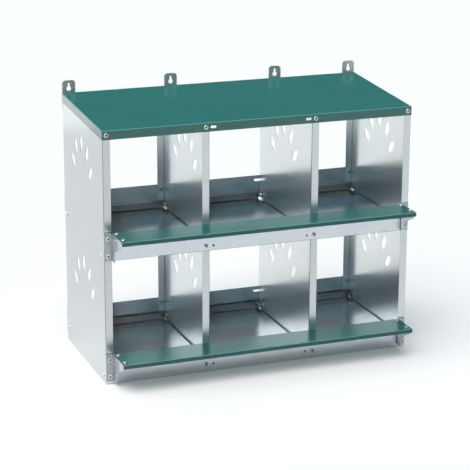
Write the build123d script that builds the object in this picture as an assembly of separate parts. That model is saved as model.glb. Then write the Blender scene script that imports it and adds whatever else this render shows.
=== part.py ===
from build123d import *
from collections import namedtuple
import math
import os

# All sizes are in millimetres.
# X runs across the nests, Y from the perches to the back, Z up from the ground.

# Overall layout
NEST_WIDTH = 252.0           # clear width of one nest
NEST_PITCH = 290.0           # one floor to the next
BASE_HEIGHT = 26.0           # lower floor above the ground
FRONT_HEIGHT = 600.0         # roof's front edge above the ground
BODY_DEPTH = 330.0           # front of the roof lip to the back of the rear rails
ROOF_RISE = 20.0             # the roof's rear edge above its front edge
PERCH_REACH = 80.0           # perch's front edge to the front of the box

# Sheet and bends
SHEET = 0.8                  # galvanised and painted sheet
BRACKET_SHEET = 1.5          # perch brackets
BEND = 1.0                   # inside radius of a bend
FLOOR_BEND = 4.0             # inside radius at the edges of a floor pan

# Clearances
FLOOR_GAP = 1.0              # floor pan to the sheets beside it
FLOOR_FRONT_GAP = 4.0        # floor pan to the front flanges
FLOOR_REAR_GAP = 6.0         # floor pan's rear lip to the rear flanges
ROOF_GAP = 0.35 * BEND       # square sheet edge to the inside of the roof's bends
RETURN_GAP = 1.0             # a rail's bottom return to the uprights it goes round
PERCH_GAP = 0.3              # perch's rear edge to the front rail
HOLE_GAP = 0.25              # screw to the wall of its hole
THREAD_GAP = 0.05            # screw to the wall of its nut
DRILL_MARGIN = 0.4           # how far a drilled hole runs past the sheets it joins

# Uprights: side panels and dividers
FLANGE = 18.0                # front and rear flanges, measured over the sheet
CORNER_CUT = 4.0             # clipped corner under the roof's front bend

# Fan of vents beside each nest
VENT_COUNT = 5
VENT_LENGTH = 43.0
VENT_WIDTH = 22.0
VENT_TIP = 2.5               # rounding of a vent's two tips
VENT_RADIUS = 71.0           # centre of the fan to the middle of a vent
VENT_SETBACK = 172.0         # centre of the fan behind the front of the box
VENT_ABOVE_FLOOR = 147.0     # centre of the fan above the floor
VENT_STEP = 39.0             # degrees from one vent to the next
VENT_LEAN = 0.6              # a vent's lean for each degree of its place in the fan

# Floor pans
FLOOR_FLANGE = 14.0          # side edges, bent down
FLOOR_EDGE = 16.0            # front edge, bent down
FLOOR_LIP = 17.0             # rear edge, bent up
FLOOR_RELIEF = 5.0           # square notch at each corner
FLOOR_NOTCH = 15.0           # width of the outer pans' front notches, clear of the nuts there
FLOOR_EAR = 18.0             # ears at the ends of the rear lip, bent forward along the walls
FLOOR_SCREW_DROP = 9.0       # screws of the side edges below the floor
FLOOR_SCREW_FRONT = 22.0     # screws of the side edges behind the front of the box

# Rails
RAIL_ABOVE = 46.0            # front rail's upper edge above the floor
UPPER_RAIL_BELOW = 19.0      # upper front rail's lower edge below the floor
RAIL_RETURN = 10.0           # front rail's lower edge, bent inward
RAIL_SCREW_DROP = 7.0        # front rail's screws below the floor
LOWER_REAR_RAIL_HEIGHT = 60.0
UPPER_REAR_RAIL_HEIGHT = 46.5
LOWER_REAR_RAIL_ABOVE = 55.5 # lower rear rail's upper edge above its floor
UPPER_REAR_RAIL_ABOVE = 58.5 # upper rear rail's upper edge above its floor
REAR_SCREW_DROP = 12.0       # rear rail's slots below its upper edge
REAR_SLOT_LENGTH = 15.0
REAR_SLOT_WIDTH = 6.0
REAR_SLOT_PAST = 15.0        # a divider's slot past the divider, on the side with no flange

# Rear top rail and its keyhole tabs
TOP_RAIL_HEIGHT = 40.0
TAB_WIDTH = 32.0
TAB_HEIGHT = 30.0            # above the roof's rear edge
TAB_CORNER = 8.0             # rounding of a tab's upper corners
TAB_INSET = 16.5             # outer tabs' middle from the outside of the side panels
LEFT_TAB_OFFSET = 18.0       # inner tab's middle to the right of the left divider
RIGHT_TAB_OFFSET = 38.0      # inner tab's middle to the right of the right divider
KEYHOLE_RADIUS = 5.5
KEYHOLE_HEIGHT = 10.0        # keyhole's round part above the roof's rear edge
KEYHOLE_SLOT_WIDTH = 5.0
KEYHOLE_SLOT_RISE = 11.0     # round part's middle to the middle of the slot's end

# Roof cap
ROOF_LIP = 21.0
ROOF_SLOT_LENGTH = 14.0
ROOF_SLOT_WIDTH = 6.0

# Perches
PERCH_PROUD = 1.0            # perch above the upper edge of its front rail
PERCH_LIP = 10.0             # front and rear edges, bent down
PERCH_NOTCH = 7.0            # clipped rear corners, clear of the brackets

# Perch brackets
BRACKET_INSET = 18.0         # gusset from the outside of the side panel
LEAF_MARGIN = 1.0            # front leaf from the outside of the side panel
LEAF_ABOVE = 2.0             # front leaf's upper edge above the perch
LEAF_BELOW = 65.0            # front leaf's lower edge below the perch
LEAF_SCREW_DROP = 13.0       # upper screw below the perch
GUSSET_SETBACK = 11.0        # gusset's front edge behind the perch's front edge
GUSSET_TIP = 16.0            # height of the gusset's front edge
GUSSET_STRIP = 20.0          # width of the gusset's lower part
GUSSET_STRIP_HEIGHT = 25.0
GUSSET_NOTCH = 5.0           # relief at the corner where the three leaves meet
TOP_LEAF = 21.0              # leaf under the perch
TOP_LEAF_LEG = 6.0           # part of the gusset that is made with the upper leaf
PERCH_SCREW_SETBACK = 13.0   # rear perch screw in front of the box
PERCH_SCREW_EDGE = 6.0       # front perch screw behind the gusset's front edge
PERCH_SCREW_INSET = 8.0      # perch screws from the end of the perch

# Screws and nuts of the frame, roof, brackets, perches and floor pans' ears
SCREW_RADIUS = 2.5
HEAD_RADIUS = 5.5
HEAD_HEIGHT = 2.8
HEAD_ROUND = 2.2
RECESS_LENGTH = 5.8
NUT_ACROSS_FLATS = 8.0
NUT_HEIGHT = 4.0

# Smaller screws and nuts of the floor pans' side edges
FLOOR_SCREW_RADIUS = 2.0
FLOOR_HEAD_RADIUS = 3.9
FLOOR_HEAD_HEIGHT = 2.4
FLOOR_HEAD_ROUND = 1.5
FLOOR_RECESS_LENGTH = 4.4
FLOOR_NUT_ACROSS_FLATS = 7.0
FLOOR_NUT_HEIGHT = 3.2

# Both sizes of screw
RECESS_WIDTH = 1.0           # each arm of the cross in a head
RECESS_DEPTH = 1.2
SCREW_TAIL = 1.5             # screw past its nut
SCREW_POINT = 0.5            # chamfer at the end of a screw

# Places worked out from the sizes above
NESTS = {"left": -1, "middle": 0, "right": 1}
FLOORS = {"lower": BASE_HEIGHT, "upper": BASE_HEIGHT + NEST_PITCH}
DIVIDER_X = NEST_WIDTH / 2
SIDE_X = DIVIDER_X + NEST_WIDTH + 2 * SHEET
ROOF_X = SIDE_X + ROOF_GAP + SHEET
REAR_HEIGHT = FRONT_HEIGHT + ROOF_RISE
PERCH_FRONT = -(PERCH_REACH + BODY_DEPTH + HEAD_HEIGHT) / 2
FACE_Y = PERCH_FRONT + PERCH_REACH
BACK_Y = FACE_Y + BODY_DEPTH
UPRIGHT_FRONT = FACE_Y + SHEET
UPRIGHT_BACK = BACK_Y - SHEET
ROOF_BACK = UPRIGHT_BACK - ROOF_GAP
FLOOR_BACK = UPRIGHT_BACK - SHEET - FLOOR_REAR_GAP
EAR_SCREW_ABOVE = (FLOOR_BEND + FLOOR_LIP) / 2
ROOF_SLOPE = ROOF_RISE / BODY_DEPTH
ROOF_UPRIGHT_SHEET = (SHEET + ROOF_GAP) * math.hypot(1, ROOF_SLOPE)
FRONT_RAIL_BOTTOMS = {"lower": 0.0, "upper": FLOORS["upper"] - UPPER_RAIL_BELOW}
REAR_RAIL_TOPS = {
    "lower": FLOORS["lower"] + LOWER_REAR_RAIL_ABOVE,
    "upper": FLOORS["upper"] + UPPER_REAR_RAIL_ABOVE,
}
REAR_RAIL_HEIGHTS = {"lower": LOWER_REAR_RAIL_HEIGHT, "upper": UPPER_REAR_RAIL_HEIGHT}
GUSSET_REACH = PERCH_REACH - GUSSET_SETBACK
TOP_RAIL_SCREW_Z = REAR_HEIGHT - TOP_RAIL_HEIGHT / 2
ROOF_SCREW_Z = FRONT_HEIGHT - ROOF_LIP / 2

# Each upright's outer face and the way its flanges are bent
UPRIGHTS = {
    "left_side_panel": (-SIDE_X, 1),
    "left_divider": (-DIVIDER_X, -1),
    "right_divider": (DIVIDER_X, 1),
    "right_side_panel": (SIDE_X, -1),
}
SIDES = {"left": UPRIGHTS["left_side_panel"], "right": UPRIGHTS["right_side_panel"]}
DIVIDERS = [UPRIGHTS["left_divider"], UPRIGHTS["right_divider"]]

# The two sizes of screw, each with its nut
ScrewSize = namedtuple(
    "ScrewSize", "radius head_radius head_height head_round recess_length nut_across_flats nut_height"
)
FRAME_SCREW = ScrewSize(
    SCREW_RADIUS, HEAD_RADIUS, HEAD_HEIGHT, HEAD_ROUND, RECESS_LENGTH, NUT_ACROSS_FLATS, NUT_HEIGHT
)
FLOOR_SCREW = ScrewSize(
    FLOOR_SCREW_RADIUS, FLOOR_HEAD_RADIUS, FLOOR_HEAD_HEIGHT, FLOOR_HEAD_ROUND, FLOOR_RECESS_LENGTH,
    FLOOR_NUT_ACROSS_FLATS, FLOOR_NUT_HEIGHT,
)

# A bolted joint: where the head sits, the way it faces, the thickness that is clamped, and the size of screw
Bolt = namedtuple("Bolt", "seat facing grip size", defaults=[FRAME_SCREW])

ON_BASE = (Align.CENTER, Align.CENTER, Align.MIN)
UNDER_BASE = (Align.CENTER, Align.CENTER, Align.MAX)


def roof_top(y):
    """Height of the roof's upper face."""
    return FRONT_HEIGHT + ROOF_SLOPE * (y - FACE_Y)


def perch_top(floor):
    """Height of the perch in front of a row of nests."""
    return floor + RAIL_ABOVE + PERCH_PROUD


def rail_screw_height(floor):
    """Height of the front rail's screws, in the notches at the floor pan's front corners."""
    return floor - RAIL_SCREW_DROP


def flange_middle(outer_x, inward):
    """Middle of an upright's flange."""
    return outer_x + inward * FLANGE / 2


def bent_sheet(points, thickness, bend):
    """Cross-section of a bent sheet from its middle line, with rounded corners."""
    line = FilletPolyline(*points, radius=bend + thickness / 2)
    return trace(line, line_width=thickness)


def across(section, low_x, high_x):
    """A section drawn in Y and Z, carried from low_x to high_x."""
    return Pos(low_x, 0, 0) * extrude(Plane.YZ * section, amount=high_x - low_x)


def block(low, high):
    """A block between two opposite corners."""
    size = [b - a for a, b in zip(low, high)]
    middle = [(a + b) / 2 for a, b in zip(low, high)]
    return Pos(*middle) * Box(*size)


# Bolted joints


def roof_bolts():
    """The roof's front lip on the front flange of each upright."""
    return [
        Bolt((flange_middle(*place), FACE_Y, ROOF_SCREW_Z), (0, -1, 0), 2 * SHEET)
        for place in UPRIGHTS.values()
    ]


def front_rail_bolts():
    """Front rails on the dividers' front flanges."""
    return [
        Bolt((flange_middle(*place), FACE_Y, rail_screw_height(floor)), (0, -1, 0), 2 * SHEET)
        for floor in FLOORS.values()
        for place in DIVIDERS
    ]


def bracket_bolts():
    """Perch brackets and the ends of the front rails on the side panels' front flanges."""
    bolts = []
    for floor in FLOORS.values():
        for place in SIDES.values():
            for height in (rail_screw_height(floor), perch_top(floor) - LEAF_SCREW_DROP):
                seat = (flange_middle(*place), FACE_Y - BRACKET_SHEET, height)
                bolts.append(Bolt(seat, (0, -1, 0), BRACKET_SHEET + 2 * SHEET))
    return bolts


def perch_bolts():
    """Perch ends on the brackets' upper leaves."""
    bolts = []
    for floor in FLOORS.values():
        for outer_x, inward in SIDES.values():
            x = outer_x + inward * (BRACKET_INSET + PERCH_SCREW_INSET)
            for setback in (PERCH_SCREW_SETBACK, GUSSET_REACH - PERCH_SCREW_EDGE):
                seat = (x, FACE_Y - setback, perch_top(floor))
                bolts.append(Bolt(seat, (0, 0, 1), SHEET + BRACKET_SHEET))
    return bolts


def rear_rail_bolts():
    """Rear rails on the rear flange of each upright."""
    bolts = []
    for top in REAR_RAIL_TOPS.values():
        for place in UPRIGHTS.values():
            seat = (flange_middle(*place), BACK_Y, top - REAR_SCREW_DROP)
            bolts.append(Bolt(seat, (0, 1, 0), 2 * SHEET))
    return bolts


def top_rail_bolts():
    """Rear top rail on the rear flange of each upright."""
    return [
        Bolt((flange_middle(*place), BACK_Y, TOP_RAIL_SCREW_Z), (0, 1, 0), 2 * SHEET)
        for place in UPRIGHTS.values()
    ]


def pan_bolts(y, above_floor, size):
    """Floor pans on the side panels, and pairs of pans on the dividers between them."""
    bolts = []
    for floor in FLOORS.values():
        z = floor + above_floor
        for outer_x, inward in SIDES.values():
            bolts.append(Bolt((outer_x, y, z), (-inward, 0, 0), 2 * SHEET + FLOOR_GAP, size))
        for outer_x, inward in DIVIDERS:
            head_x = outer_x + inward * (2 * SHEET + FLOOR_GAP)
            bolts.append(Bolt((head_x, y, z), (inward, 0, 0), 3 * SHEET + 2 * FLOOR_GAP, size))
    return bolts


def floor_bolts():
    """Floor pans' side edges on the uprights, near the front."""
    return pan_bolts(FACE_Y + FLOOR_SCREW_FRONT, -FLOOR_SCREW_DROP, FLOOR_SCREW)


def ear_bolts():
    """Ears of the floor pans' rear lips on the uprights."""
    return pan_bolts(FLOOR_BACK - FLOOR_EAR / 2, EAR_SCREW_ABOVE, FRAME_SCREW)


def bolt_place(bolt):
    """Frame with its origin on the screw's seat and its Z axis along the way the head faces."""
    return Plane(origin=bolt.seat, z_dir=bolt.facing)


def screw_hole(bolt):
    """Cylinder that clears the screw through everything it clamps."""
    radius = bolt.size.radius + HOLE_GAP
    depth = bolt.grip + 2 * DRILL_MARGIN
    return bolt_place(bolt) * Pos(0, 0, DRILL_MARGIN) * Cylinder(radius, depth, align=UNDER_BASE)


def boxes_meet(first, second):
    """Whether two bounding boxes share space."""
    lows = zip(first.min, second.max)
    highs = zip(second.min, first.max)
    return all(a < b for a, b in lows) and all(a < b for a, b in highs)


def drilled(sheet, bolts):
    """The sheet with a hole for each screw that passes through it."""
    box = sheet.bounding_box()
    holes = [screw_hole(bolt) for bolt in bolts]
    return sheet - [hole for hole in holes if boxes_meet(box, hole.bounding_box())]


def slot_cutter(x, y, z, length, width):
    """Upright slot with round ends, running across the nests, through a sheet at y."""
    outline = Plane.XZ * SlotOverall(length, width)
    return Pos(x, y, z) * extrude(outline, amount=SHEET + DRILL_MARGIN, both=True)


# Uprights


def vent_leaf():
    """One leaf-shaped vent, standing upright at the origin."""
    half_length = VENT_LENGTH / 2
    half_width = VENT_WIDTH / 2
    right = ThreePointArc((0, -half_length), (half_width, 0), (0, half_length))
    left = ThreePointArc((0, half_length), (-half_width, 0), (0, -half_length))
    leaf = make_face(right + left)
    return fillet(leaf.vertices(), VENT_TIP)


def vent_fan(floor):
    """The fan of vents beside one nest, drawn in Y and Z."""
    centre_y = FACE_Y + VENT_SETBACK
    centre_z = floor + VENT_ABOVE_FLOOR
    leaf = vent_leaf()
    leaves = []
    for index in range(VENT_COUNT):
        angle = VENT_STEP * (index - (VENT_COUNT - 1) / 2)
        y = centre_y + VENT_RADIUS * math.sin(math.radians(angle))
        z = centre_z + VENT_RADIUS * math.cos(math.radians(angle))
        leaves.append(Pos(y, z, 0) * Rot(0, 0, -VENT_LEAN * angle) * leaf)
    return leaves


def upright_outline():
    """Side view of an upright: sloping top edge under the roof, clipped at the front."""
    front_top = roof_top(UPRIGHT_FRONT) - ROOF_UPRIGHT_SHEET
    clipped_y = UPRIGHT_FRONT + CORNER_CUT
    corners = [
        (UPRIGHT_FRONT, 0),
        (UPRIGHT_BACK, 0),
        (UPRIGHT_BACK, roof_top(UPRIGHT_BACK) - ROOF_UPRIGHT_SHEET),
        (clipped_y, roof_top(clipped_y) - ROOF_UPRIGHT_SHEET),
        (UPRIGHT_FRONT, front_top - CORNER_CUT),
    ]
    return make_face(Polyline(*corners, close=True))


def upright(outer_x, inward, bolts):
    """A side panel or divider: one sheet with a front and a rear flange, vents and screw holes."""
    sheet_x = outer_x + inward * SHEET / 2
    flange_x = outer_x + inward * FLANGE
    front_y = UPRIGHT_FRONT + SHEET / 2
    back_y = UPRIGHT_BACK - SHEET / 2
    plan = [(flange_x, front_y), (sheet_x, front_y), (sheet_x, back_y), (flange_x, back_y)]
    sheet = extrude(bent_sheet(plan, SHEET, BEND), amount=REAR_HEIGHT)
    sheet = sheet & across(upright_outline(), outer_x - FLANGE, outer_x + FLANGE)
    for floor in FLOORS.values():
        for leaf in vent_fan(floor):
            sheet = sheet - across(leaf, outer_x - FLANGE, outer_x + FLANGE)
    return drilled(sheet, bolts)


# Floors


def floor_pan(nest, floor, bolts):
    """A nest's floor: side and front edges bent down, rear edge bent up with an ear at each end.

    An outer nest has flanges and nuts at both front corners, so its pan is notched further there.
    """
    middle_x = NESTS[nest] * (NEST_WIDTH + SHEET)
    half = NEST_WIDTH / 2 - FLOOR_GAP
    front = UPRIGHT_FRONT + SHEET + FLOOR_FRONT_GAP
    level = floor - SHEET / 2
    foot = floor - FLOOR_FLANGE
    side_x = half - SHEET / 2
    sides = [(-side_x, foot), (-side_x, level), (side_x, level), (side_x, foot)]
    span_length = FLOOR_BACK - front - 2 * FLOOR_RELIEF
    span = extrude(Plane.XZ * bent_sheet(sides, SHEET, FLOOR_BEND), amount=-span_length)
    lip_y = FLOOR_BACK - SHEET / 2
    ends = [
        (front + SHEET / 2, floor - FLOOR_EDGE),
        (front + SHEET / 2, level),
        (lip_y, level),
        (lip_y, floor + FLOOR_LIP),
    ]
    length = across(bent_sheet(ends, SHEET, FLOOR_BEND), -half + FLOOR_RELIEF, half - FLOOR_RELIEF)
    ear_y = FLOOR_BACK - FLOOR_EAR
    lip_plan = [(-side_x, ear_y), (-side_x, lip_y), (side_x, lip_y), (side_x, ear_y)]
    lip = extrude(bent_sheet(lip_plan, SHEET, BEND), amount=FLOOR_LIP - FLOOR_BEND)
    length = length + Pos(0, 0, floor + FLOOR_BEND) * lip
    notched_ends = [] if nest == "middle" else [-half, half]
    for x in notched_ends:
        low = (x - FLOOR_NOTCH, front - SHEET, floor - FLOOR_EDGE - SHEET)
        high = (x + FLOOR_NOTCH, front + FLOOR_RELIEF, floor + SHEET)
        length = length - block(low, high)
    pan = Pos(middle_x, 0, 0) * (Pos(0, front + FLOOR_RELIEF, 0) * span + length)
    return drilled(pan, bolts)


# Rails


def front_rail(floor, bottom, bolts):
    """Full-width strip in front of the uprights, its lower edge bent inward between them."""
    sheet_y = FACE_Y + SHEET / 2
    section = [
        (sheet_y, floor + RAIL_ABOVE),
        (sheet_y, bottom + SHEET / 2),
        (FACE_Y + RAIL_RETURN, bottom + SHEET / 2),
    ]
    rail = across(bent_sheet(section, SHEET, BEND), -SIDE_X, SIDE_X)
    for outer_x, inward in UPRIGHTS.values():
        ends = sorted((outer_x - inward * RETURN_GAP, outer_x + inward * (FLANGE + RETURN_GAP)))
        low = (ends[0], UPRIGHT_FRONT, bottom - SHEET)
        high = (ends[1], FACE_Y + RAIL_RETURN + SHEET, bottom + RAIL_RETURN)
        rail = rail - block(low, high)
    spare = [
        Bolt((outer_x - inward * FLANGE / 2, FACE_Y, rail_screw_height(floor)), (0, -1, 0), SHEET)
        for outer_x, inward in DIVIDERS
    ]
    return drilled(rail, bolts + spare)


def rear_rail(top, height):
    """Full-width flat strip behind the uprights, slotted at each flange, and further at a divider."""
    rail = block((-SIDE_X, UPRIGHT_BACK, top - height), (SIDE_X, BACK_Y, top))
    slots = [(flange_middle(*place), REAR_SLOT_LENGTH) for place in SIDES.values()]
    inner_end = (FLANGE + REAR_SLOT_LENGTH) / 2
    for outer_x, inward in DIVIDERS:
        middle_x = outer_x + inward * (inner_end - REAR_SLOT_PAST) / 2
        slots.append((middle_x, inner_end + REAR_SLOT_PAST))
    for x, length in slots:
        rail = rail - slot_cutter(x, BACK_Y, top - REAR_SCREW_DROP, length, REAR_SLOT_WIDTH)
    return rail


def keyhole():
    """Round hole with a narrow slot rising from it."""
    round_part = Pos(0, KEYHOLE_HEIGHT) * Circle(KEYHOLE_RADIUS)
    slot_end = Pos(0, KEYHOLE_HEIGHT + KEYHOLE_SLOT_RISE) * Circle(KEYHOLE_SLOT_WIDTH / 2)
    slot_middle = KEYHOLE_HEIGHT + KEYHOLE_SLOT_RISE / 2
    slot = Pos(0, slot_middle) * Rectangle(KEYHOLE_SLOT_WIDTH, KEYHOLE_SLOT_RISE)
    return round_part + slot + slot_end


def hanging_tab():
    """One tab that stands above the roof, with rounded upper corners and a keyhole."""
    tab = Pos(0, TAB_HEIGHT / 2) * Rectangle(TAB_WIDTH, TAB_HEIGHT)
    tab = fillet(tab.vertices().group_by(Axis.Y)[-1], TAB_CORNER)
    return tab - keyhole()


def tab_places():
    """Middle of each tab, across the nests."""
    inner = [-DIVIDER_X + LEFT_TAB_OFFSET, DIVIDER_X + RIGHT_TAB_OFFSET]
    return [-SIDE_X + TAB_INSET, *inner, SIDE_X - TAB_INSET]


def rear_top_rail(bolts):
    """Strip behind the uprights, under the roof's rear edge, with the four keyhole tabs."""
    strip = Pos(0, -TOP_RAIL_HEIGHT / 2) * Rectangle(2 * SIDE_X, TOP_RAIL_HEIGHT)
    outline = strip + [Pos(x, 0) * hanging_tab() for x in tab_places()]
    rail = Pos(0, BACK_Y, REAR_HEIGHT) * extrude(Plane.XZ * outline, amount=SHEET)
    return drilled(rail, bolts)


# Roof


def roof_block(inset, bend):
    """The roof's outer form, or the space under it when it is inset by the sheet."""
    front = FACE_Y + inset
    back = ROOF_BACK + inset
    drop = inset * math.hypot(1, ROOF_SLOPE)
    lip = ROOF_LIP + inset
    corners = [
        (front, roof_top(front) - lip),
        (back, roof_top(back) - lip),
        (back, roof_top(back) - drop),
        (front, roof_top(front) - drop),
    ]
    half_width = ROOF_X - inset
    solid = across(make_face(Polyline(*corners, close=True)), -half_width, half_width)
    front_face = solid.faces().sort_by(Axis.Y)[0]
    top_face = solid.faces().sort_by(Axis.Z)[-1]
    bends = front_face.edges().filter_by(Axis.Z) + top_face.edges().sort_by(Axis.Y)[:-1]
    return fillet(bends, bend)


def roof_cap(bolts):
    """Painted cap: a sloping sheet with lips at the front and both sides."""
    cap = roof_block(0, BEND + SHEET) - roof_block(SHEET, BEND)
    for outer_x, inward in DIVIDERS:
        x = flange_middle(outer_x, -inward)
        cap = cap - slot_cutter(x, FACE_Y, ROOF_SCREW_Z, ROOF_SLOT_LENGTH, ROOF_SLOT_WIDTH)
    return drilled(cap, bolts)


# Perches and their brackets


def perch(floor, bolts):
    """Painted ledge with its front and rear edges bent down."""
    top = perch_top(floor)
    level = top - SHEET / 2
    end_x = SIDE_X - BRACKET_INSET
    rear_y = FACE_Y - PERCH_GAP
    front_line = PERCH_FRONT + SHEET / 2
    rear_line = rear_y - SHEET / 2
    ledge = [(front_line, top - PERCH_LIP), (front_line, level), (rear_y, level)]
    stiffener = [(rear_line, top - PERCH_LIP), (rear_line, level), (rear_y - PERCH_LIP, level)]
    stiffener_x = end_x - TOP_LEAF - BRACKET_SHEET
    sheet = across(bent_sheet(ledge, SHEET, BEND), -end_x, end_x)
    for x in (-end_x, end_x):
        low = (x - PERCH_NOTCH, rear_y - PERCH_NOTCH, top - PERCH_LIP)
        high = (x + PERCH_NOTCH, FACE_Y, top + SHEET)
        sheet = sheet - block(low, high)
    edge_low = (-stiffener_x, rear_y - PERCH_LIP, top - PERCH_LIP)
    edge_high = (stiffener_x, FACE_Y, top + SHEET)
    sheet = sheet - block(edge_low, edge_high)
    sheet = sheet + across(bent_sheet(stiffener, SHEET, BEND), -stiffener_x, stiffener_x)
    return drilled(sheet, bolts)


def bracket_outline(top, bottom):
    """Side view of a bracket's front leaf and gusset."""
    leg_top = top - SHEET - TOP_LEAF_LEG
    leaf_y = FACE_Y - BRACKET_SHEET
    corners = [
        (FACE_Y, bottom),
        (FACE_Y - GUSSET_STRIP, bottom),
        (FACE_Y - GUSSET_STRIP, bottom + GUSSET_STRIP_HEIGHT),
        (FACE_Y - GUSSET_REACH, top - SHEET - GUSSET_TIP),
        (FACE_Y - GUSSET_REACH, leg_top),
        (leaf_y, leg_top),
        (leaf_y, top + LEAF_ABOVE),
        (FACE_Y, top + LEAF_ABOVE),
    ]
    return make_face(Polyline(*corners, close=True))


def perch_bracket(outer_x, inward, floor, bolts):
    """Bent bracket: front leaf on the side panel, gusset, and a leaf under the perch."""
    top = perch_top(floor)
    bottom = top - LEAF_BELOW
    gusset_x = outer_x + inward * (BRACKET_INSET + BRACKET_SHEET / 2)
    leaf_line = FACE_Y - BRACKET_SHEET / 2
    plan = [
        (outer_x + inward * LEAF_MARGIN, leaf_line),
        (gusset_x, leaf_line),
        (gusset_x, FACE_Y - GUSSET_REACH),
    ]
    height = LEAF_BELOW + LEAF_ABOVE
    leaves = Pos(0, 0, bottom) * extrude(bent_sheet(plan, BRACKET_SHEET, BEND), amount=height)
    ends = sorted((outer_x, outer_x + inward * (BRACKET_INSET + TOP_LEAF)))
    leaves = leaves & across(bracket_outline(top, bottom), *ends)
    leaf_level = top - SHEET - BRACKET_SHEET / 2
    section = [
        (gusset_x, top - SHEET - TOP_LEAF_LEG),
        (gusset_x, leaf_level),
        (outer_x + inward * (BRACKET_INSET + TOP_LEAF), leaf_level),
    ]
    face = Plane.XZ * bent_sheet(section, BRACKET_SHEET, BEND)
    upper_leaf = Pos(0, FACE_Y - GUSSET_NOTCH, 0) * extrude(face, amount=GUSSET_REACH - GUSSET_NOTCH)
    return drilled(leaves + upper_leaf, bolts)


# Screws and nuts


def screw(grip, size):
    """Pan-head screw along Z, its head's underside at the origin."""
    length = grip + size.nut_height + SCREW_TAIL
    head = Cylinder(size.head_radius, size.head_height, align=ON_BASE)
    head = fillet(head.edges().group_by(Axis.Z)[-1], size.head_round)
    for turn in (0, 90):
        groove = Box(size.recess_length, RECESS_WIDTH, RECESS_DEPTH, align=UNDER_BASE)
        head = head - Pos(0, 0, size.head_height) * Rot(0, 0, turn) * groove
    shank = Cylinder(size.radius, length, align=UNDER_BASE)
    shank = chamfer(shank.edges().group_by(Axis.Z)[0], SCREW_POINT)
    return head + shank


def nut(grip, size):
    """Hexagon nut along Z, clamped against the far side of the joint."""
    corner_radius = size.nut_across_flats / math.sqrt(3)
    outline = RegularPolygon(corner_radius, 6) - Circle(size.radius + THREAD_GAP)
    return Pos(0, 0, -grip) * extrude(outline, amount=-size.nut_height)


def placed(make, bolts):
    """One screw or nut at each bolted joint."""
    kinds = {(bolt.grip, bolt.size) for bolt in bolts}
    pieces = {kind: make(*kind) for kind in kinds}
    return [bolt_place(bolt) * pieces[bolt.grip, bolt.size] for bolt in bolts]


# The whole box


def sheet_pieces(bolts):
    """Every sheet piece by name."""
    every = [bolt for group in bolts.values() for bolt in group]
    pieces = {name: upright(*place, every) for name, place in UPRIGHTS.items()}
    pieces["roof_cap"] = roof_cap(every)
    pieces["rear_top_rail"] = rear_top_rail(every)
    for row, floor in FLOORS.items():
        pieces[f"{row}_front_rail"] = front_rail(floor, FRONT_RAIL_BOTTOMS[row], every)
        pieces[f"{row}_rear_rail"] = rear_rail(REAR_RAIL_TOPS[row], REAR_RAIL_HEIGHTS[row])
        pieces[f"{row}_perch"] = perch(floor, every)
        for nest in NESTS:
            pieces[f"{row}_{nest}_floor"] = floor_pan(nest, floor, every)
        for side, place in SIDES.items():
            pieces[f"{row}_{side}_perch_bracket"] = perch_bracket(*place, floor, every)
    return pieces


def main():
    bolts = {
        "roof": roof_bolts(),
        "front_rail": front_rail_bolts(),
        "bracket": bracket_bolts(),
        "perch": perch_bolts(),
        "rear_rail": rear_rail_bolts(),
        "top_rail": top_rail_bolts(),
        "floor": floor_bolts(),
        "ear": ear_bolts(),
    }
    pieces = sheet_pieces(bolts)
    for name, group in bolts.items():
        pieces[f"{name}_screws"] = Compound(children=placed(screw, group))
        pieces[f"{name}_nuts"] = Compound(children=placed(nut, group))
    os.makedirs("parts", exist_ok=True)
    for name, piece in pieces.items():
        export_step(piece, f"parts/{name}.step")
    print(len(pieces), "pieces written")


main()
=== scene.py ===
# %% [markdown]
# # A sheet-steel nest box
#
# Two rows of three nests, folded from galvanised sheet and bolted together, with a glossy green roof and
# two green perches. The solid model gives every piece its shape and place, so this lesson is about looks:
# the camera, the zinc, the paint, the bolts and the light that metal needs around it.

# %% Load the solid model as a fixed frame
import bpy
import math
import numpy as np
from mathutils import Matrix, Vector


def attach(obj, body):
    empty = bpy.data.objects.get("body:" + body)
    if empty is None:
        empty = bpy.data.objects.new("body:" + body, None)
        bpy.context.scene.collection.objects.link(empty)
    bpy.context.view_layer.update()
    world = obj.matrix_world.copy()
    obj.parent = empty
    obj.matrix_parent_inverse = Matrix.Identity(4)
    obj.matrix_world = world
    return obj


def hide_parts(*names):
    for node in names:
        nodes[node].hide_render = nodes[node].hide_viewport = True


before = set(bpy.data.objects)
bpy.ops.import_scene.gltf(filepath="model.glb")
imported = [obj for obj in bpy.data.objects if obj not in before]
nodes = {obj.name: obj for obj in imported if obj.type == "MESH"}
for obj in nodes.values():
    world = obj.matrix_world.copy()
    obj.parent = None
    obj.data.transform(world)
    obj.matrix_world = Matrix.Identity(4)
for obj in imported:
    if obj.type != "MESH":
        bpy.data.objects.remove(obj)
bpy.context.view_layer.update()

# %% [markdown]
# ## The camera
#
# The box is seen from the front left and a little above, through a long lens, so its upright edges stay
# nearly parallel. A camera can be nudged by eye until the edges agree, but here its place and angles were
# worked out from corners of the box whose real sizes are known, and they are written down in metres and
# degrees.

# %% Camera
PICTURE_SIDE = 470                       # pixels, the picture is square
FOCAL_LENGTH = 1774.9                    # pixels
SENSOR_WIDTH = 36.0                      # millimetres
FARTHEST_SEEN = 100.0                    # metres, well past the floor's far corners
CAMERA_PLACE = Vector((-1.4612, -3.8093, 1.5017))
CAMERA_TURN = math.radians(20.775)       # to the right of straight ahead
CAMERA_DIP = math.radians(16.584)        # below level
CAMERA_ROLL = math.radians(0.235)


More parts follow.
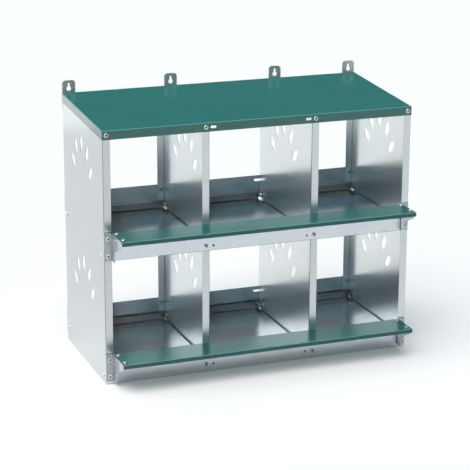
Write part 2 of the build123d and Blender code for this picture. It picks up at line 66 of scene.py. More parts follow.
def camera_axes(turn, dip, roll):
    """The camera's right, up and backward directions: level axes turned, dipped and then rolled."""
    ahead = Vector((math.sin(turn) * math.cos(dip), math.cos(turn) * math.cos(dip), -math.sin(dip)))
    right = ahead.cross(Vector((0, 0, 1))).normalized()
    up = right.cross(ahead)
    rolled_right = math.cos(roll) * right + math.sin(roll) * up
    rolled_up = math.cos(roll) * up - math.sin(roll) * right
    return Matrix((rolled_right, rolled_up, -ahead)).transposed()


def make_camera():
    """A camera whose lens length in millimetres gives the focal length in pixels."""
    data = bpy.data.cameras.new("camera")
    data.sensor_width = SENSOR_WIDTH
    data.lens = FOCAL_LENGTH * SENSOR_WIDTH / PICTURE_SIDE
    data.clip_end = FARTHEST_SEEN
    camera = bpy.data.objects.new("camera", data)
    axes = camera_axes(CAMERA_TURN, CAMERA_DIP, CAMERA_ROLL)
    camera.matrix_world = Matrix.Translation(CAMERA_PLACE) @ axes.to_4x4()
    bpy.context.scene.collection.objects.link(camera)
    bpy.context.scene.camera = camera
    return camera


camera = make_camera()
print("lens", round(camera.data.lens, 1), "mm")

# %% [markdown]
# ## Writing materials as code
#
# Every finish below is a small network of nodes. Networks can be drawn by hand in the shader editor, but
# code can make seven kinds of zinc from one recipe. One function adds a node, sets its values and links
# it, and another turns a colour as it is written on a screen into the linear light that Blender mixes.

# %% Helpers for materials
MM = 0.001
# A Mix node's colour sockets go by number, because its other kinds use the same names
COLOUR_A = 6
COLOUR_B = 7
MIXED_COLOUR = 2


def linear(code):
    """A screen colour such as #2f7a73, as linear light with full alpha, by the sRGB curve."""
    parts = [int(code[i:i + 2], 16) / 255 for i in (1, 3, 5)]
    return [c / 12.92 if c <= 0.04045 else ((c + 0.055) / 1.055) ** 2.4 for c in parts] + [1.0]


def per_metre(size_mm):
    """Pattern scale for a feature of this size, because a texture's scale counts features per metre."""
    return 1 / (size_mm * MM)


def add(tree, kind, inputs=None, **settings):
    """Adds one node, with its own settings, and gives each input, by name or number, a value or a link."""
    made = tree.nodes.new("ShaderNode" + kind)
    for name, value in settings.items():
        setattr(made, name, value)
    for name, value in (inputs or {}).items():
        if isinstance(value, bpy.types.NodeSocket):
            tree.links.new(value, made.inputs[name])
        else:
            made.inputs[name].default_value = value
    return made


def new_material(name):
    """An empty material, its node tree and the shader that its surface uses."""
    material = bpy.data.materials.new(name)
    material.use_nodes = True
    tree = material.node_tree
    tree.nodes.clear()
    shader = add(tree, "BsdfPrincipled")
    add(tree, "OutputMaterial", {"Surface": shader.outputs["BSDF"]})
    return material, tree, shader


print("middle grey on a screen is", round(linear("#808080")[0], 3), "of white in linear light")

# %% [markdown]
# ## Where zinc is dull, and painted shade
#
# Zinc is brittle. It cracks finely where a sheet is bent and is torn away where the sheet is cut, so
# bends and cut edges are duller, and the same darker colour there also paints the thin shade lines along
# them. The fronts of the flanges and of the bracket leaves are darkened as painted shade, for the darker
# ground in front that they mirror, and the right side panel is darker on its outer face. Such marks
# could be painted on each piece by hand, but here each is a share from 0 to 1 that a finish mixes in, so
# it follows the pieces wherever they are bent or cut. A bend shows in the normal, which points between
# two axes there. A cut edge shows where rounding it would turn the normal. A darkened face is told by its
# place along one axis.

# %% Shares of wear and painted shade
# Cosines of the turn at which a bend, or an edge if it were rounded, starts to dull and is fully dull
BEND_SPAN = {"From Min": 0.985, "From Max": 0.9}
EDGE_SPAN = {"From Min": 0.98, "From Max": 0.8}
EDGE_RAYS = 8            # rays that feel for an edge at each point


def bend_share(tree):
    """How far round a bend the surface is: 0 where it faces along an axis, 1 well between two axes.

    Along an axis the largest part of the normal is 1, and between axes it is less.
    """
    facing = add(tree, "VectorMath", {0: add(tree, "TexCoord").outputs["Normal"]}, operation="ABSOLUTE")
    parts = add(tree, "SeparateXYZ", {"Vector": facing.outputs["Vector"]}).outputs
    wider = add(tree, "Math", {0: parts["X"], 1: parts["Y"]}, operation="MAXIMUM").outputs["Value"]
    widest = add(tree, "Math", {0: wider, 1: parts["Z"]}, operation="MAXIMUM").outputs["Value"]
    return add(tree, "MapRange", {"Value": widest, **BEND_SPAN}).outputs["Result"]


def edge_share(tree, width):
    """How near a cut edge the surface is: if rounded there, it would face away from its own normal."""
    rounded = add(tree, "Bevel", {"Radius": width * MM}, samples=EDGE_RAYS).outputs["Normal"]
    facing = add(tree, "NewGeometry").outputs["Normal"]
    turned = add(tree, "VectorMath", {0: rounded, 1: facing}, operation="DOT_PRODUCT").outputs["Value"]
    return add(tree, "MapRange", {"Value": turned, **EDGE_SPAN}).outputs["Result"]


def bend_and_edge_share(tree, width):
    """The larger of the share round a bend and the share near a cut edge."""
    shares = {0: bend_share(tree), 1: edge_share(tree, width)}
    return add(tree, "Math", shares, operation="MAXIMUM").outputs["Value"]


def axis_darkening_share(tree, most, axis, start, full):
    """How much darker the zinc is, by its place along one axis: none at the start, most from full on."""
    place = add(tree, "SeparateXYZ", {"Vector": add(tree, "TexCoord").outputs["Object"]}).outputs[axis]
    darker_span = {"Value": place, "From Min": start * MM, "From Max": full * MM, "To Max": most}
    return add(tree, "MapRange", darker_span).outputs["Result"]


bend_from = math.degrees(math.acos(BEND_SPAN["From Min"]))
print("a bend starts to dull", round(bend_from, 1), "degrees away from an axis")

# %% [markdown]
# ## Galvanised steel
#
# The sheet is cold-rolled steel with a skin of zinc, so it is bright, a little blue, and nearly a mirror:
# walls show the pale floor and the nests' floor pans, softly blurred. A picture of zinc could be wrapped
# round it, but it would repeat and bring its own light along, so the pattern is made from its causes
# instead. The zinc froze in faint crystals some millimetres across, the rolls left fine lines along the
# sheet, and thin sheet is never quite flat, so reflections bend a little.

# %% Pattern of the sheet
SPANGLE = 9.0            # millimetres across one zinc crystal
ROLL_LINE = 1.4          # millimetres from one rolled line to the next, coarser than life so that it shows
ROLL_RUN = 160.0         # millimetres along a rolled line
WAVE = 170.0             # millimetres across one wave of the sheet


def rolled_scale(grain):
    """Pattern scale that is fine across the rolled lines and long along them."""
    scale = [per_metre(ROLL_LINE)] * 3
    scale["XYZ".index(grain)] = per_metre(ROLL_RUN)
    return scale


def sheet_pattern(tree, grain):
    """Tone of crystals and rolled lines added together, and the heights of the lines and of the waves."""
    place = add(tree, "TexCoord").outputs["Object"]
    spangle = add(tree, "TexVoronoi", {"Vector": place, "Scale": per_metre(SPANGLE)})
    lines_at = add(tree, "Mapping", {"Vector": place, "Scale": rolled_scale(grain)}).outputs["Vector"]
    lines = add(tree, "TexNoise", {"Vector": lines_at, "Scale": 1.0, "Detail": 2.0}).outputs["Fac"]
    waves = add(tree, "TexNoise", {"Vector": place, "Scale": per_metre(WAVE), "Detail": 1.0}).outputs["Fac"]
    crystal = add(tree, "SeparateColor", {"Color": spangle.outputs["Color"]}).outputs["Red"]
    tone = add(tree, "Math", {0: crystal, 1: lines}, operation="ADD").outputs["Value"]
    return tone, lines, waves


print(round(per_metre(SPANGLE)), "crystals and", round(per_metre(ROLL_LINE)), "rolled lines to a metre")

# %% Finish of the sheet
# Crystal and line tones added, from dark zinc to light and from smooth to rough
TONE_SPAN = {"From Min": 0.4, "From Max": 1.5}
GLOSS_SPAN = {"From Min": 0.3, "From Max": 1.6}
LINE_BUMP = {"Strength": 0.05, "Distance": 0.1 * MM}    # rolled lines hardly stand out
WAVE_HEIGHT = 0.2        # millimetres
OXIDE_METALLIC = 0.85    # below 1, because a thin film of oxide on the zinc scatters some light
DULL_ZINC_AND_SHADE = "#7c8488"    # worn at bends and cut edges, where it also paints thin shade lines, and painted shade on darkened faces
SHEET_EDGE = 0.7         # millimetres of dull rim along a cut edge of the thin sheet, partly painted shade


def dulled_and_shaded(tree, zinc, edge, darkenings):
    """Mixes dull zinc and painted shade into a colour at bends, cut edges and darkened places, whichever is
    most.
    """
    dark_share = bend_and_edge_share(tree, edge)
    for darkening in darkenings:
        shares = {0: dark_share, 1: axis_darkening_share(tree, *darkening)}
        dark_share = add(tree, "Math", shares, operation="MAXIMUM").outputs["Value"]
    # dull zinc at bends and cut edges, which also paints thin shade lines, and painted shade on darkened
    # faces
    colours = {"Factor": dark_share, COLOUR_A: zinc, COLOUR_B: linear(DULL_ZINC_AND_SHADE)}
    return add(tree, "Mix", colours, data_type="RGBA").outputs[MIXED_COLOUR]


def galvanised(name, tones, grain, roughness, wave_height=WAVE_HEIGHT, edge=SHEET_EDGE,
               metallic=OXIDE_METALLIC, darkenings=()):
    """Zinc-coated sheet whose rolled lines run along one axis."""
    material, tree, shader = new_material(name)
    tone, lines, waves = sheet_pattern(tree, grain)
    share = add(tree, "MapRange", {"Value": tone, **TONE_SPAN}).outputs["Result"]
    colours = {"Factor": share, COLOUR_A: linear(tones[0]), COLOUR_B: linear(tones[1])}
    zinc = add(tree, "Mix", colours, data_type="RGBA").outputs[MIXED_COLOUR]
    smooth = {"Value": tone, **GLOSS_SPAN, "To Min": roughness[0], "To Max": roughness[1]}
    gloss = add(tree, "MapRange", smooth).outputs["Result"]
    fine = add(tree, "Bump", {"Height": lines, **LINE_BUMP}).outputs["Normal"]
    wavy = {"Height": waves, "Strength": 1.0, "Distance": wave_height * MM, "Normal": fine}
    bent = add(tree, "Bump", wavy).outputs["Normal"]
    tree.links.new(dulled_and_shaded(tree, zinc, edge, darkenings), shader.inputs["Base Color"])
    tree.links.new(gloss, shader.inputs["Roughness"])
    tree.links.new(bent, shader.inputs["Normal"])
    shader.inputs["Metallic"].default_value = metallic
    return material


print("waves", WAVE_HEIGHT, "mm high and", WAVE, "mm across, dull rims", SHEET_EDGE, "mm wide")

# %% [markdown]
# ## Seven kinds of zinc sheet
#
# One coil of sheet would look the same all over. One finish with a map could cover the whole box, but
# it is simpler to give each kind of piece its own tones, lines and smoothness, and to say which of its
# faces are darkened. The floor pans' darker tone is painted shade, for the shade inside the nests.

# %% Zinc finishes
# Bright walls: pale zinc with a little more oxide, so they glow softly as well as mirror
BRIGHT_SHEET = {"tones": ("#eef2f3", "#f6f9fa"), "grain": "Z", "roughness": (0.215, 0.262),
                "metallic": 0.75}
BRACKET_EDGE = 1.4       # millimetres of dull rim, wider because the brackets' sheet is thicker
# How far the zinc goes towards the dull colour, along which axis, and from and to which millimetre:
# painted shade on the fronts of the flanges and the bracket leaves, and a darker outer face
FLANGE_SHADE = (0.3, "Y", -124.5, -125.5)
OUTER_DARKENING = (0.42, "X", 379.0, 379.4)
LEAF_SHADE = (0.72, "Y", -133.0, -130.0)

# Dividers: the brightest zinc, whose oxide softens what it mirrors, with painted shade on the front of
# their flanges
zinc_upright = galvanised("galvanised_steel_upright", **BRIGHT_SHEET, darkenings=[FLANGE_SHADE])
# Right side panel: as bright as the dividers inside the box, with painted shade on the front of its flange,
# and darker on its outer face
zinc_right = galvanised("galvanised_steel_right_panel", **BRIGHT_SHEET, darkenings=[FLANGE_SHADE, OUTER_DARKENING])
# Left side panel: an even, satin light grey
zinc_outer = galvanised("galvanised_steel_outer_panel", ("#c8cacb", "#d0d2d2"), "Z", (0.19, 0.24))
# Front and rear rails: a little bluer, with lines along their length
zinc_rail = galvanised("galvanised_steel_rail", ("#d3dadd", "#dbe1e4"), "X", (0.19, 0.24))
# Floor pans: a darker grey that is painted shade for the shade inside the nests, and polished by use,
# so they mirror the walls most clearly
zinc_floor = galvanised("galvanised_steel_floor", ("#a9a6a3", "#b1adaa"), "Y", (0.18, 0.22),
                        wave_height=0.15)
# Perch brackets: bright and stiff, with a wide dull rim that is partly painted shade, and painted shade on
# the leaf on the front of the box
zinc_bracket = galvanised("galvanised_steel_bracket", ("#e6e9ea", "#eef0f1"), "Z", (0.2, 0.26),
                          wave_height=0.1, edge=BRACKET_EDGE, darkenings=[LEAF_SHADE])
# Rear top rail with its wall tabs: weathered zinc, nearly matt
zinc_tab = galvanised("galvanised_steel_wall_strip", ("#bec2c1", "#cbcecb"), "X", (0.45, 0.52))

zinc_sheets = [zinc_upright, zinc_right, zinc_outer, zinc_rail, zinc_floor, zinc_bracket, zinc_tab]
print([sheet.name for sheet in zinc_sheets])

# %% [markdown]
# ## Green baked paint
#
# The roof and the perches are the same sheet, sprayed and baked in a deep blue-green. A plain smooth
# green would come close, but wet paint never levels itself perfectly: it keeps a faint orange-peel
# texture a couple of millimetres across, and it draws back from bends and edges, which are paler; along
# the bends the paler colour is also a painted highlight. The shine comes from the paint's own index of
# refraction, so the perches mirror the nests at a low angle and stay deep green from above. The perches
# are worn by use, so their paint is duller than the roof's, and it is darker as painted shade.

# %% Green baked paint
ORANGE_PEEL = 2.2        # millimetres from one dimple to the next
PEEL_BUMP = {"Strength": 0.06, "Distance": 0.1 * MM}    # only enough to stir the shine
PAINT_CLOUD = 120.0      # millimetres across a thicker or thinner patch of paint
NOISE_SPAN = {"From Min": 0.3, "From Max": 0.7}    # smooth noise seldom leaves this span
PALE_PAINT_AND_HIGHLIGHT = "#6fb0a8"   # pale paint at bends and edges: thin paint over the zinc, and a painted highlight along the bends
PAINT_IOR = 1.5
COAT_ROUGHNESS = 0.1


def baked_paint(name, thin, thick, roughness, coat):
    """Glossy sprayed enamel with orange peel and slightly uneven depth of colour."""
    material, tree, shader = new_material(name)
    place = add(tree, "TexCoord").outputs["Object"]
    patches = {"Vector": place, "Scale": per_metre(PAINT_CLOUD), "Detail": 3.0}
    cloud = add(tree, "TexNoise", patches).outputs["Fac"]
    dimples = {"Vector": place, "Scale": per_metre(ORANGE_PEEL), "Detail": 1.0}
    peel = add(tree, "TexNoise", dimples).outputs["Fac"]
    depths = {"Factor": cloud, COLOUR_A: linear(thin), COLOUR_B: linear(thick)}
    paint = add(tree, "Mix", depths, data_type="RGBA").outputs[MIXED_COLOUR]
    # paler at bends and edges: thin paint, and a painted highlight along the bends
    pale_edges_and_highlight = {"Factor": bend_and_edge_share(tree, SHEET_EDGE), COLOUR_A: paint, COLOUR_B: linear(PALE_PAINT_AND_HIGHLIGHT)}
    colour = add(tree, "Mix", pale_edges_and_highlight, data_type="RGBA").outputs[MIXED_COLOUR]
    smooth = {"Value": cloud, **NOISE_SPAN, "To Min": roughness[0], "To Max": roughness[1]}
    gloss = add(tree, "MapRange", smooth).outputs["Result"]
    dimpled = add(tree, "Bump", {"Height": peel, **PEEL_BUMP}).outputs["Normal"]
    tree.links.new(colour, shader.inputs["Base Color"])
    tree.links.new(gloss, shader.inputs["Roughness"])
    tree.links.new(dimpled, shader.inputs["Normal"])
    shader.inputs["IOR"].default_value = PAINT_IOR
    shader.inputs["Coat Weight"].default_value = coat
    shader.inputs["Coat Roughness"].default_value = COAT_ROUGHNESS
    return material


# Roof: wet-looking gloss
green_paint = baked_paint("green_baked_paint", "#1e7b72", "#1a736b", (0.16, 0.22), coat=0.6)
# Perches: the same paint, scrubbed to a satin, and darker as painted shade
worn_and_shaded_paint = baked_paint("green_baked_paint_perch", "#196660", "#15605a", (0.3, 0.36), coat=0.2)
print([paint.name for paint in (green_paint, worn_and_shaded_paint)])

# %% [markdown]
# ## Zinc-plated bolts
#
# Screws and nuts are plated in a drum, so their zinc is bright but scuffed by the other bolts in it.
# The cross of a head, the bottoms of the threads and the hole of a nut are darkened as painted shade. A
# shader could look for such hollows, but the shapes below know where they are, so a mark on each point of
# the mesh says how deep it lies and the painted shade darkens with it.

# %% Zinc-plated bolts
SCUFF = 0.7              # millimetres across one scuff
DEPTH_MARK = "depth"     # attribute from 0 on the open surface to 1 at the bottom of a recess, where the painted shade is darkest
PLATE_GLOSS = {"To Min": 0.38, "To Max": 0.2}      # roughness of a scuff and of bright plate


def plated(name, dark, light, recess_shade):
    """Bright zinc plate with small duller scuffs, and painted shade where the mesh is marked as deep."""
    material, tree, shader = new_material(name)
    place = add(tree, "TexCoord").outputs["Object"]
    depth = add(tree, "Attribute", attribute_name=DEPTH_MARK).outputs["Fac"]
    marks = {"Vector": place, "Scale": per_metre(SCUFF), "Detail": 2.0}
    scuffs = add(tree, "TexNoise", marks).outputs["Fac"]
    tones = {"Factor": scuffs, COLOUR_A: linear(dark), COLOUR_B: linear(light)}
    plate = add(tree, "Mix", tones, data_type="RGBA").outputs[MIXED_COLOUR]
    # painted shade in the cross, the threads and the hole, darkest where the mark is deepest
    shaded_plate = {"Factor": depth, COLOUR_A: plate, COLOUR_B: linear(recess_shade)}
    colour = add(tree, "Mix", shaded_plate, data_type="RGBA").outputs[MIXED_COLOUR]
    gloss = add(tree, "MapRange", {"Value": scuffs, **NOISE_SPAN, **PLATE_GLOSS}).outputs["Result"]
    tree.links.new(colour, shader.inputs["Base Color"])
    tree.links.new(gloss, shader.inputs["Roughness"])
    shader.inputs["Metallic"].default_value = 1.0
    return material


# Bolts: sparkling small heads, with painted shade in their crosses, threads and holes
zinc_bolt = plated("zinc_plated_bolt", "#c6cbce", "#eef1f2", "#1c2022")
print(zinc_bolt.name, "with scuffs", SCUFF, "mm across")

# %% [markdown]
# ## Where the joints are
#
# The solid model has plain screws and nuts, in groups of one mesh each. Their places could be typed in
# again, but they would be wrong as soon as the model changes, so each group is taken apart into its loose
# parts and the box around each part is measured.

# %% Boxes around the bolts
SAME_PLACE = 6           # decimals of a metre to which two corners agree when they are one


def joined_corners(mesh):
    """The mesh's distinct corners, and its triangles as numbers of those corners."""
    corners = np.empty(len(mesh.vertices) * 3)
    mesh.vertices.foreach_get("co", corners)
    mesh.calc_loop_triangles()
    triangles = np.empty(len(mesh.loop_triangles) * 3, dtype=int)
    mesh.loop_triangles.foreach_get("vertices", triangles)
    places = np.round(corners.reshape(-1, 3), SAME_PLACE)
    distinct, number = np.unique(places, axis=0, return_inverse=True)
    return distinct, number.reshape(-1)[triangles].reshape(-1, 3)


def separate_boxes(mesh):
    """Lowest and highest corner of each loose part.

    Corners take the lowest number among those that they share a face with, again and again until
    nothing changes.
    """
    corners, triangles = joined_corners(mesh)
    label = np.arange(len(corners))
    while True:
        lowest = label.copy()
        np.minimum.at(lowest, triangles, label[triangles].min(axis=1, keepdims=True))
        if (lowest == label).all():
            break
        label = lowest
    parts = [corners[label == value] for value in np.unique(label)]
    return [(part.min(axis=0), part.max(axis=0)) for part in parts]


bolt_nodes = [name for name in nodes if name.endswith(("_screws", "_nuts"))]
bolt_boxes = {name: separate_boxes(nodes[name].data) for name in bolt_nodes}
print({name: len(boxes) for name, boxes in bolt_boxes.items()})

# %% [markdown]
# ## The screw
#
# A pan-head screw is a turned profile with a cross pressed into its head and a thread wound along its
# shank. It could be cut from cylinders, but cuts leave ragged faces on so small a piece. Here it is one
# grid of rings: a ring's radius and height come from a formula, and the cross and the thread only change
# them.

# %% Head of a screw
AROUND = 48                  # points around a bolt, a multiple of six for the nut's hexagon
TURNS = np.linspace(0, 2 * np.pi, AROUND, endpoint=False)
HEAD_RINGS = 22
HEAD_EDGE = 0.75             # millimetres, as below: upright edge at the foot of a head
CROSS_ARM = 0.62             # half the width of an arm of the cross
CROSS_SLOPE = 0.5            # width of its sloping side
CROSS_DEPTH = 1.5
CROSS_REACH = (0.42, 0.6)    # shares of the head's radius where the cross starts to rise and where it ends
# Radius and height of a head, radius of a shank, and the distance across flats of the nut on it
FRAME_SIZES = {"head": (5.5, 2.8), "shank": 2.45, "flats": 8.0}
FLOOR_SIZES = {"head": (3.9, 2.4), "shank": 1.95, "flats": 7.0}


def soft_fall(value, full, none):
    """1 up to full, 0 from none on, and a smooth S between them."""
    share = np.clip((none - value) / (none - full), 0, 1)
    return share * share * (3 - 2 * share)


def head_rings(radius, height):
    """Pan head: a dome above an upright edge, with the cross pressed into it.

    The dome's height goes with the root of 1 less the fourth power of distance over radius. The cross is
    where either coordinate is small and the other is within the cross, and it lowers the dome.
    """
    distance = radius * np.sin(np.linspace(0, np.pi / 2, HEAD_RINGS + 1))[1:, None]
    across_x = distance * np.cos(TURNS)
    across_y = distance * np.sin(TURNS)
    dome = HEAD_EDGE + (height - HEAD_EDGE) * np.sqrt(np.clip(1 - (distance / radius) ** 4, 0, 1))
    narrow = np.minimum(abs(across_x), abs(across_y))
    reach = np.maximum(abs(across_x), abs(across_y))
    rises, ends = (share * radius for share in CROSS_REACH)
    cross = soft_fall(narrow, CROSS_ARM, CROSS_ARM + CROSS_SLOPE) * soft_fall(reach, rises, ends)
    return across_x, across_y, dome - CROSS_DEPTH * cross, cross


print("rings and points round one head:", head_rings(*FRAME_SIZES["head"])[0].shape)

# %% Whole screw
SHANK_RINGS = 60
THREAD_PITCH = 0.8           # millimetres, as is the depth
THREAD_DEPTH = 0.35
THREAD_MARK = 0.8            # depth mark at the bottom of a thread, where its painted shade is darkest
TIP_SIZE = 0.5               # share of the radius towards which the last thread tapers


def shank_rings(radius, length):
    """Threaded shank: the radius falls and rises once for each pitch, and starts later round the turn."""
    along = np.linspace(0, length, SHANK_RINGS)[:, None]
    wave = abs(((along / THREAD_PITCH - TURNS / (2 * np.pi)) % 1) * 2 - 1)
    whole = soft_fall(along, length - THREAD_PITCH, length + THREAD_PITCH)
    size = (radius - THREAD_DEPTH * wave) * (TIP_SIZE + (1 - TIP_SIZE) * whole)
    return size * np.cos(TURNS), size * np.sin(TURNS), -along + 0 * wave, THREAD_MARK * wave


def screw_surface(radius, height, shank_radius, length):
    """Points and depth marks of one screw, ring by ring from head to tip, with the head's seat at 0."""
    level = np.zeros((1, AROUND))
    foot = (level + radius * np.cos(TURNS), level + radius * np.sin(TURNS), level, level)
    stretches = zip(head_rings(radius, height), foot, shank_rings(shank_radius, length))
    return np.stack([np.concatenate(part) for part in stretches], axis=-1)


screw = screw_surface(*FRAME_SIZES["head"], FRAME_SIZES["shank"], length=10.0)
print("rings and points round one screw:", screw.shape[:2])

# %% [markdown]
# ## The nut
#
# A nut is a hexagon whose corners are cut by a cone at each face, so that they don't bite the sheet. Six
# flats and two cones could be cut from a solid. As rings it needs only eight of them, from the hole over
# the outer face, down the flats and back to the hole.

# %% Nut surface
CHAMFER_SLOPE = 0.58         # fall of the cone for each millimetre out past a flat, as 30 degrees give
CHAMFER_DROP = 0.25          # millimetres from the face down to the cut at the middle of a flat
FACE_ROUND = 0.94            # radius of the face's round as a share of half the distance across flats
MOUTH_BEVEL = 0.35           # millimetres of bevel at the mouth of the hole
HOLE_MARKS = (0.8, 0.3)      # depth marks in the hole and at its mouth, for their painted shade


def nut_surface(across_flats, height, hole_radius):
    """Points and depth marks of one nut, seat at 0: rings from the hole, round the outside and back.

    The hexagon's radius at an angle is half the distance across flats over the cosine of the angle from
    the middle of its flat.
    """
    flat = across_flats / 2
    outline = flat / np.cos((TURNS % (np.pi / 3)) - np.pi / 6)
    cut = CHAMFER_DROP + (outline - flat) * CHAMFER_SLOPE
    level = np.zeros(AROUND)
    hole, face = level + hole_radius, level + FACE_ROUND * flat
    mouth, top = hole + MOUTH_BEVEL, level + height
    sizes = np.stack([hole, mouth, face, outline, outline, face, mouth, hole])
    levels = np.stack([top - MOUTH_BEVEL, top, top, top - cut, cut, level, level, level + MOUTH_BEVEL])
    inside, rim = (level + mark for mark in HOLE_MARKS)
    marks = np.stack([inside, rim, level, level, level, level, rim, inside])
    return np.stack([sizes * np.cos(TURNS), sizes * np.sin(TURNS), levels, marks], axis=-1)


nut = nut_surface(FRAME_SIZES["flats"], height=4.0, hole_radius=FRAME_SIZES["shank"])
print("rings and points round one nut:", nut.shape[:2])

# %% [markdown]
# ## From one bolt to a whole group
#
# Every bolt of a group is the same surface, moved to its joint and turned by its own angle, because no
# two are tightened alike. Copies of one object could do this, but a group is one piece of the model, so
# its bolts are put together as one mesh.

# %% Which way each bolt points
FACINGS = {"roof": (0, -1, 0), "front_rail": (0, -1, 0), "bracket": (0, -1, 0), "perch": (0, 0, 1),
           "rear_rail": (0, 1, 0), "top_rail": (0, 1, 0), "floor": (1, 0, 0), "ear": (1, 0, 0)}
GOLDEN_TURN = 2.39996        # radians, never repeats a turn


def facing_of(group, box):
    """The way a bolt's head faces. Those across the nests face away from the middle of the box."""
    facing = np.array(FACINGS[group], dtype=float)
    return facing * np.sign(box[0][0] + box[1][0]) if facing[0] else facing


def bolt_axes(facing, index):
    """Three directions with the third along the head, turned about it by the bolt's own angle."""
    side = np.array((1.0, 0.0, 0.0)) if facing[2] else np.cross(facing, (0, 0, 1))
    other = np.cross(facing, side)
    angle = index * GOLDEN_TURN
    first = np.cos(angle) * side + np.sin(angle) * other
    return np.stack([first, np.cross(facing, first), facing])


def placed(surface, box, facing, index):
    """A bolt's surface moved from its own axis to its joint, its top where the solid model's bolt ends."""
    low, high = box
    middle = (low + high) / 2
    end = middle + facing * (abs(facing) @ (high - low)) / 2
    points = surface.copy()
    points[..., :3] = surface[..., :3] * MM @ bolt_axes(facing, index) + end
    return points


print("groups that face along each axis:", np.abs(list(FACINGS.values())).sum(axis=0))

# %% One mesh of many bolts
SHARP_FROM = math.radians(38)    # edges that turn more than this stay crisp


def grid_faces(rings, closed):
    """Four-cornered faces between neighbouring rings, and back to the first where the surface closes."""
    ring = np.arange(rings if closed else rings - 1)[:, None]
    step = np.arange(AROUND)
    after = (step + 1) % AROUND
    here, there = ring * AROUND, (ring + 1) % rings * AROUND
    return np.stack([here + step, there + step, there + after, here + after], axis=-1).reshape(-1, 4)


def cap_faces(rings):
    """One many-sided face over the first ring, and one over the last in the opposite order."""
    first = np.arange(AROUND)
    return np.stack([first, first[::-1] + (rings - 1) * AROUND])


def repeated(faces, count, points):
    """The faces of one bolt for each bolt of a group: its corner numbers raised by the points before it."""
    starts = np.arange(count)[:, None, None] * points
    return (faces + starts).reshape(-1, faces.shape[1]).tolist()


def bolt_mesh(name, surfaces, closed):
    """One mesh of many bolts, each a grid of rings in metres with a depth mark at each point."""
    rings = len(surfaces[0])
    faces = repeated(grid_faces(rings, closed), len(surfaces), rings * AROUND)
    if not closed:
        faces += repeated(cap_faces(rings), len(surfaces), rings * AROUND)
    points = np.concatenate([surface.reshape(-1, 4) for surface in surfaces])
    mesh = bpy.data.meshes.new(name)
    mesh.from_pydata(points[:, :3].tolist(), [], faces)
    mark = mesh.attributes.new(DEPTH_MARK, "FLOAT", "POINT")
    mark.data.foreach_set("value", points[:, 3].astype(np.float32))
    mesh.shade_smooth()
    mesh.set_sharp_from_angle(angle=SHARP_FROM)
    return mesh


print("faces of one nut:", len(grid_faces(len(nut), closed=True)))

# %% Setting the bolts down
HOLE_PLAY = 0.02             # millimetres between a nut's hole and the thread


def bolt_surface(kind, sizes, box, facing):
    """One bolt's surface with its top at the origin: a screw as long as its box, or a nut as high."""
    length = abs(facing) @ (box[1] - box[0]) / MM
    radius, height = sizes["head"]
    if kind == "screws":
        surface = screw_surface(radius, height, sizes["shank"], length - height)
        return surface - (0, 0, height, 0)
    return nut_surface(sizes["flats"], length, sizes["shank"] + HOLE_PLAY) - (0, 0, length, 0)


def make_bolts(node):
    """One object for a group of screws or nuts, standing for the solid model's group."""
    group, kind = node.rsplit("_", 1)
    sizes = FLOOR_SIZES if group == "floor" else FRAME_SIZES
    surfaces = []
    for index, box in enumerate(bolt_boxes[node]):
        facing = facing_of(group, box)
        surfaces.append(placed(bolt_surface(kind, sizes, box, facing), box, facing, index))
    mesh = bolt_mesh(f"{node}_turned", surfaces, closed=kind == "nuts")
    mesh.materials.append(zinc_bolt)
    piece = bpy.data.objects.new(f"{node}_turned", mesh)
    bpy.context.scene.collection.objects.link(piece)
    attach(piece, "root")
    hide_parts(node)
    return piece


bolts = [make_bolts(node) for node in bolt_nodes]
print(len(bolts), "groups of bolts,", sum(len(piece.data.polygons) for piece in bolts), "faces")

# %% [markdown]
# ## Giving each piece its finish
#
# Materials can be dropped on pieces one at a time. The pieces' names say what they are, though, so a
# short list of name endings is enough to choose a finish for each.

# %% Finishes by name
FINISHES = {
    "left_side_panel": zinc_outer,
    "right_side_panel": zinc_right,
    "_divider": zinc_upright,
    "_front_rail": zinc_rail,
    "_rear_rail": zinc_rail,
    "_top_rail": zinc_tab,
    "_floor": zinc_floor,
    "_perch_bracket": zinc_bracket,
    "_screws": zinc_bolt,
    "_nuts": zinc_bolt,
    "_perch": worn_and_shaded_paint,
    "roof_cap": green_paint,
}


def finish_for(name):
    """The finish whose name ending fits this piece."""
    return next(finish for ending, finish in FINISHES.items() if name.endswith(ending))


for name, piece in nodes.items():
    piece.data.materials.clear()
    piece.data.materials.append(finish_for(name))
print("finishes given to", len(nodes), "pieces")

# %% [markdown]
# ## The floor
#
# Metal shows what is around it, so the surroundings are part of its look, and a pale floor fills the
# lower half of most reflections. More light would make it white, but would bleach the box too. Instead
# the floor glows a little where it is seen, directly or in a mirror, and it is darker for the light that
# it throws back, so that the lips of the roof and perches stay a deep green. It keeps the box's shadow.

# %% Floor
FLOOR_SIDE = 60.0            # metres
FLOOR_GLOW = 0.17            # share of plain white in the floor where it is seen
FLOOR_COLOUR = "#f7f7f7"
FLOOR_BOUNCE = "#5a5a5a"     # the floor's colour for the light that it throws back onto the box
FLOOR_ROUGHNESS = 0.9
FLOOR_SHINE = 0.1


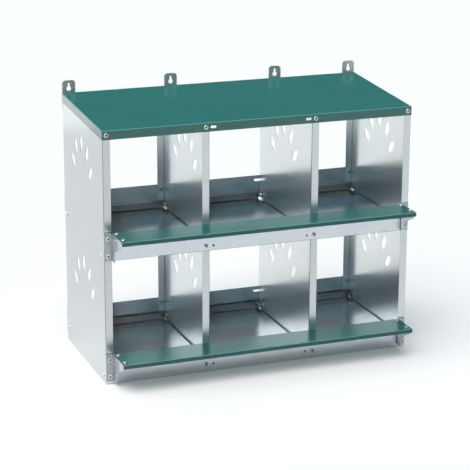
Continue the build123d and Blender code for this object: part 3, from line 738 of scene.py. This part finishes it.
def pale_floor_material():
    """White matt floor, lightened where it is seen directly, in a mirror or through glass."""
    material, tree, shader = new_material("pale_floor")
    shader.inputs["Roughness"].default_value = FLOOR_ROUGHNESS
    shader.inputs["Specular IOR Level"].default_value = FLOOR_SHINE
    path = add(tree, "LightPath").outputs
    plain = {0: path["Is Camera Ray"], 1: path["Is Glossy Ray"]}
    seen = add(tree, "Math", plain, operation="MAXIMUM").outputs["Value"]
    through = {0: seen, 1: path["Is Transmission Ray"]}
    seen = add(tree, "Math", through, operation="MAXIMUM").outputs["Value"]
    share = add(tree, "Math", {0: seen, 1: FLOOR_GLOW}, operation="MULTIPLY").outputs["Value"]
    pale = {"Factor": seen, COLOUR_A: linear(FLOOR_BOUNCE), COLOUR_B: linear(FLOOR_COLOUR)}
    colour = add(tree, "Mix", pale, data_type="RGBA").outputs[MIXED_COLOUR]
    tree.links.new(colour, shader.inputs["Base Color"])
    glow = add(tree, "Emission", {"Color": (1, 1, 1, 1), "Strength": 1.0}).outputs["Emission"]
    mixed = add(tree, "MixShader", {0: share, 1: shader.outputs["BSDF"], 2: glow})
    tree.links.new(mixed.outputs["Shader"], tree.nodes["Material Output"].inputs["Surface"])
    return material


def make_floor():
    """One wide level square at the foot of the box."""
    half = FLOOR_SIDE / 2
    corners = [(-half, -half, 0), (half, -half, 0), (half, half, 0), (-half, half, 0)]
    mesh = bpy.data.meshes.new("floor")
    mesh.from_pydata(corners, [], [(0, 1, 2, 3)])
    mesh.materials.append(pale_floor_material())
    floor = bpy.data.objects.new("floor", mesh)
    bpy.context.scene.collection.objects.link(floor)
    return floor


floor = make_floor()
print("floor", FLOOR_SIDE, "metres square with the finish", floor.data.materials[0].name)

# %% [markdown]
# ## The light
#
# A single lamp would leave mirror-like metal black wherever it doesn't reflect that lamp. So the room
# itself is the light: a round soft glow overhead and towards the front left, which also lights the floor
# that the rails mirror, and a faint blue glow at the front. Low soft lights behind the box are what the
# perches, the nests' floors and the feet of the walls mirror. The rest of the room is dim, which keeps
# the roof a deep green.

# %% Soft lights behind the box
SOFT_COLOUR = (0.9, 1.0, 1.06)
# Each light's place and size in metres, the way it looks, the angle of its grid in degrees, and its watts
SOFT_LIGHTS = {
    "strip_back_left": ((-0.5, 0.75, 0.535), (0.86, 0.29), (0.3, -0.9, -0.3), 70, 0.23),
    "strip_back_right": ((0.44, 0.75, 0.516), (0.98, 0.25), (0.0, -0.95, -0.31), 70, 0.24),
    "panel_back_left": ((-0.3, 0.75, 0.27), (1.1, 0.36), (0.5, -0.8, -0.33), 60, 0.35),
}


def make_soft_light(name, place, size, look, spread, power):
    """A rectangular light with a grid, which is seen in mirrors but not by the camera."""
    data = bpy.data.lights.new(name, "AREA")
    data.shape = "RECTANGLE"
    data.size, data.size_y = size
    data.spread = math.radians(spread)
    data.energy = power
    data.color = SOFT_COLOUR
    light = bpy.data.objects.new(name, data)
    light.location = place
    light.rotation_euler = Vector(look).to_track_quat("-Z", "Y").to_euler()
    light.visible_camera = False
    bpy.context.scene.collection.objects.link(light)


for name, settings in SOFT_LIGHTS.items():
    make_soft_light(name, *settings)
print(len(SOFT_LIGHTS), "soft lights behind the box")

# %% The room
ROOM_COLOUR = (0.088, 0.138, 0.155, 1.0)
# Each glow's middle as a direction, degrees from there to its edge and to where it is full, and its light
GLOWS = {
    "overhead": ((-0.32, -0.22, 0.92), (40, 20), (4.0, 4.0, 4.0, 1.0)),
    "front": ((-0.42, -0.86, 0.28), (31, 15), (0.25, 0.47, 0.58, 1.0)),
}


def glow_share(tree, middle, spread):
    """How much of a round glow is seen: 1 near its middle, falling smoothly to 0 at its edge."""
    look = add(tree, "TexCoord").outputs["Generated"]
    ways = {0: look, 1: Vector(middle).normalized()}
    facing = add(tree, "VectorMath", ways, operation="DOT_PRODUCT").outputs["Value"]
    edge, full = (math.cos(math.radians(angle)) for angle in spread)
    span = {"Value": facing, "From Min": edge, "From Max": full}
    return add(tree, "MapRange", span, interpolation_type="SMOOTHSTEP").outputs["Result"]


def light_room():
    """A dim blue-grey room with a soft glow overhead and a faint one at the front."""
    world = bpy.data.worlds.new("studio")
    world.use_nodes = True
    tree = world.node_tree
    tree.nodes.clear()
    room = add(tree, "Background", {"Color": ROOM_COLOUR}).outputs["Background"]
    for middle, spread, light in GLOWS.values():
        glow = add(tree, "Background", {"Color": light}).outputs["Background"]
        layers = {0: glow_share(tree, middle, spread), 1: room, 2: glow}
        room = add(tree, "MixShader", layers).outputs["Shader"]
    add(tree, "OutputWorld", {"Surface": room})
    bpy.context.scene.world = world


light_room()
bpy.context.scene.view_settings.view_transform = "Standard"
print("a room with glows", list(GLOWS))
